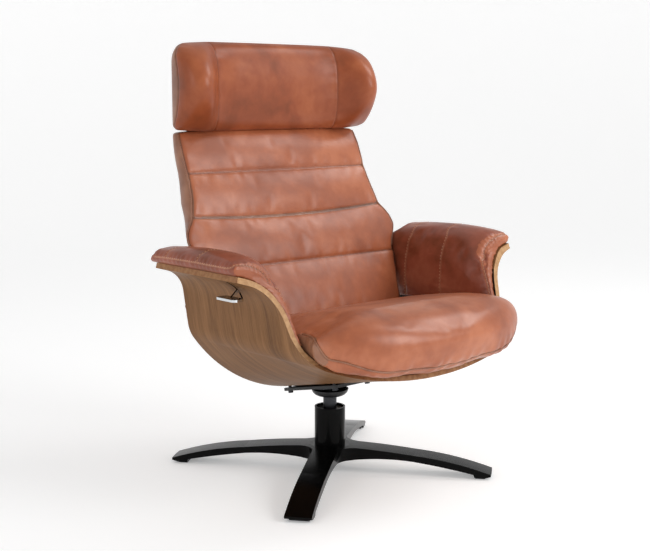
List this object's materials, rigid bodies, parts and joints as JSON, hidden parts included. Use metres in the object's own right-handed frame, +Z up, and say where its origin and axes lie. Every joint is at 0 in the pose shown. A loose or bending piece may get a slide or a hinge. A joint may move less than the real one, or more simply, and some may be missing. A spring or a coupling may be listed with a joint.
{
  "type": "star base swivel recliner",
  "caption": "Reclining lounge armchair on a black star base: bent plywood tub, padded leather arms, gliding seat, channelled back and tilting winged headrest.",
  "frame": {"origin": "point on the floor under the swivel axis", "axes": "+Z up, -Y to the front of the chair, +X to the right in a front view"},
  "size_m": [0.852, 0.7229, 1.004],
  "materials": {
    "gloss_black": "gloss black paint",
    "satin_black": "satin black paint",
    "dark_steel": "blackened steel",
    "zinc_steel": "zinc plated",
    "bush_plastic": "moulded plastic",
    "glide_plastic": "moulded plastic",
    "walnut_ply": "satin lacquered walnut veneer, pale ply edge",
    "plain_ply": "sanded plywood",
    "brown_leather": "semi-gloss pigmented leather with mottling",
    "bright_chrome": "polished"
  },
  "bodies": {
    "base": {"star_base": "gloss_black", "floor_glides": "glide_plastic", "column_tube": "gloss_black", "column_plug": "zinc_steel", "column_bolt": "zinc_steel", "column_washer": "zinc_steel", "upper_swivel_bush": "bush_plastic", "lower_swivel_bush": "bush_plastic", "thrust_washer": "bush_plastic"},
    "tub": {"swivel_spindle": "dark_steel", "swivel_bowl": "satin_black", "mounting_plate": "satin_black", "plate_bolts": "zinc_steel", "frame_spacers": "zinc_steel", "cross_bars": "satin_black", "seat_rails": "satin_black", "plywood_shell": "walnut_ply", "arm_pad_left": "brown_leather", "arm_pad_right": "brown_leather", "back_pivot_blocks": "satin_black", "back_pivot_bushes": "bush_plastic", "lever_bracket": "satin_black", "lever_pin": "zinc_steel", "cylinder_bracket": "satin_black", "gas_cylinder": "satin_black"},
    "seat": {"seat_runners": "satin_black", "seat_board": "plain_ply", "seat_cushion": "brown_leather", "drive_forks": "satin_black", "gas_rod": "zinc_steel", "rod_bracket": "satin_black"},
    "back": {"back_cushion": "brown_leather", "back_panel": "brown_leather", "back_side_plates": "satin_black", "back_pivot_pins": "zinc_steel", "drive_tube": "satin_black", "headrest_straps": "satin_black"},
    "headrest": {"headrest_cushion": "brown_leather", "headrest_board": "plain_ply", "headrest_hinges": "satin_black", "hinge_pins": "zinc_steel"},
    "lever": {"release_lever": "bright_chrome", "lever_arm": "satin_black"}
  },
  "joints": [
    {"name": "base_swivel", "type": "hinge", "parent": "base", "child": "tub", "pos_m": [0, 0, 0.1], "axis": [0, 0, 1], "continuous": true},
    {"name": "back_recline", "type": "hinge", "parent": "tub", "child": "back", "pos_m": [0, 0.086, 0.443], "axis": [-1, 0, 0], "range_deg": [0, 25]},
    {"name": "seat_glide", "type": "slide", "parent": "tub", "child": "seat", "axis": [0, -0.9767, 0.2147], "range_m": [0, 0.048]},
    {"name": "headrest_tilt", "type": "hinge", "parent": "back", "child": "headrest", "pos_m": [0, 0.227, 0.813], "axis": [1, 0, 0], "range_deg": [0, 30]},
    {"name": "release_lever", "type": "hinge", "parent": "tub", "child": "lever", "pos_m": [-0.32, -0.048, 0.483], "axis": [-1, 0, 0], "range_deg": [-11, 11], "stiffness_Nm_per_rad": 8}
  ],
  "couplings": [
    {"joint": "seat_glide", "follows": "back_recline", "m_per_rad": 0.1091}
  ]
}
